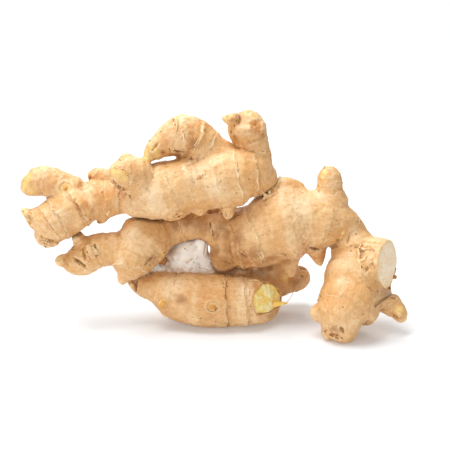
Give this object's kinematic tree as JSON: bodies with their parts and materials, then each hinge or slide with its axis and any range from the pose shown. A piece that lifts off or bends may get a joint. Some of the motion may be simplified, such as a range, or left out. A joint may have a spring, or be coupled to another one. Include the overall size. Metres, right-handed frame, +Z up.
{
  "type": "ginger root",
  "caption": "Branching hand of fresh ginger with stubby ringed fingers, a knife-cut knob and a snapped finger, lying on its lower fingers.",
  "frame": {"origin": "on the table, under the middle of the hand's box", "axes": "+X to the right along the hand, +Y to its back, +Z up; the picture looks along +Y from a little above"},
  "size_m": [0.1976, 0.0626, 0.1108],
  "materials": {
    "ginger_skin": null
  },
  "bodies": {
    "root": {"ginger_root": "ginger_skin"}
  },
  "joints": []
}
